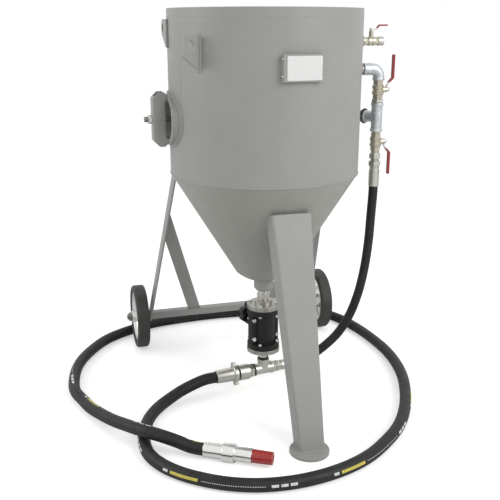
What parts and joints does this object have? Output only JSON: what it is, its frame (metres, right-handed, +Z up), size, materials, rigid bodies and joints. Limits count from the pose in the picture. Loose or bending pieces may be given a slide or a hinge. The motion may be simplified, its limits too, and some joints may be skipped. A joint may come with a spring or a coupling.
{
  "type": "abrasive blasting pot",
  "caption": "Wheeled abrasive blasting pot with a cone bottom, pop-up filling valve, air manifold with ball valves, pinch metering valve, blast hose and nozzle.",
  "frame": {"origin": "tank axis on the floor", "axes": "-Y towards the front leg, +X towards the air manifold, +Z up"},
  "size_m": [1.1888, 1.294, 1.2507],
  "materials": {
    "grey_paint": "satin grey paint",
    "rubber": "moulded black rubber",
    "zinc": "zinc plated",
    "nickel_brass": "nickel plated brass",
    "polished_ball": "polished",
    "red_grip": "dipped vinyl",
    "black_iron": "black enamel",
    "black_plastic": "moulded",
    "tyre": "solid rubber tyre",
    "rim": "galvanised pressing",
    "hose": "wrapped rubber cover",
    "red_nozzle": "cast jacket"
  },
  "bodies": {
    "frame": {"tank_shell": "grey_paint", "tank_cone": "grey_paint", "top_head": "grey_paint", "shell_sockets": "grey_paint", "hatch_ring": "grey_paint", "hatch_bridge": "grey_paint", "lifting_lugs": "grey_paint", "plate_bracket": "grey_paint", "front_leg": "grey_paint", "front_foot": "grey_paint", "rear_leg_left": "grey_paint", "rear_leg_right": "grey_paint", "rear_braces": "grey_paint", "axle_beam": "grey_paint", "outlet_socket": "grey_paint", "fill_seat": "rubber", "hatch_gasket": "rubber", "joint_seals": "rubber", "pinch_sleeve": "rubber", "popup_air_pipe": "zinc", "axle_bolts": "zinc", "hatch_nut": "zinc", "pipe_nipples": "zinc", "inlet_coupling": "zinc", "air_hose_fittings": "zinc", "pinch_top_flange": "zinc", "pinch_bottom_flange": "zinc", "pinch_bolts": "zinc", "mixing_tee": "zinc", "tank_coupling": "zinc", "hose_coupling": "zinc", "nozzle_holder": "zinc", "air_elbow": "zinc", "air_tee": "zinc", "tank_valve_body": "nickel_brass", "blast_valve_body": "nickel_brass", "vent_valve_body": "nickel_brass", "hatch_cover": "black_iron", "pinch_body_front": "black_iron", "pinch_body_rear": "black_iron", "air_hose": "hose", "blast_hose": "hose", "blast_nozzle": "red_nozzle"},
    "left_wheel": {"left_tyre": "tyre", "left_rim": "rim"},
    "right_wheel": {"right_tyre": "tyre", "right_rim": "rim"},
    "tank_valve": {"tank_valve_ball": "polished_ball", "tank_valve_lever": "zinc", "tank_valve_grip": "red_grip"},
    "blast_valve": {"blast_valve_ball": "polished_ball", "blast_valve_lever": "zinc", "blast_valve_grip": "red_grip"},
    "vent_valve": {"vent_valve_ball": "polished_ball", "vent_valve_lever": "zinc", "vent_valve_grip": "red_grip"},
    "pinch_carriage": {"pinch_bar": "black_iron"},
    "pinch_screw": {"pinch_spindle": "zinc", "pinch_handwheel": "black_plastic"},
    "plug": {"popup_plug": "rubber"}
  },
  "joints": [
    {"name": "left_wheel_spin", "type": "hinge", "parent": "frame", "child": "left_wheel", "pos_m": [-0.366, 0.44, 0.12], "axis": [1, 0, 0], "continuous": true},
    {"name": "right_wheel_spin", "type": "hinge", "parent": "frame", "child": "right_wheel", "pos_m": [0.366, 0.44, 0.12], "axis": [1, 0, 0], "continuous": true},
    {"name": "tank_valve_turn", "type": "hinge", "parent": "frame", "child": "tank_valve", "pos_m": [0.388, 0, 0.99972], "axis": [1, 0, 0], "range_deg": [0, 90]},
    {"name": "blast_valve_turn", "type": "hinge", "parent": "frame", "child": "blast_valve", "pos_m": [0.388, 0, 0.82972], "axis": [-1, 0, 0], "range_deg": [0, 90]},
    {"name": "vent_valve_turn", "type": "hinge", "parent": "frame", "child": "vent_valve", "pos_m": [0.3552, 0, 1.15272], "axis": [0, 0, -1], "range_deg": [0, 90]},
    {"name": "pinch_slide", "type": "slide", "parent": "frame", "child": "pinch_carriage", "axis": [0.2756, -0.9613, 0], "range_m": [0, 0.01], "deforming": ["pinch_sleeve"]},
    {"name": "pinch_turn", "type": "hinge", "parent": "pinch_carriage", "child": "pinch_screw", "pos_m": [0, 0, 0.23238], "axis": [0.2756, -0.9613, 0], "range_deg": [0, 1440]},
    {"name": "plug_lift", "type": "slide", "parent": "frame", "child": "plug", "axis": [0, 0, 1], "range_m": [0, 0.025]}
  ],
  "couplings": [
    {"joint": "pinch_slide", "follows": "pinch_turn", "m_per_rad": 0.00039789}
  ]
}
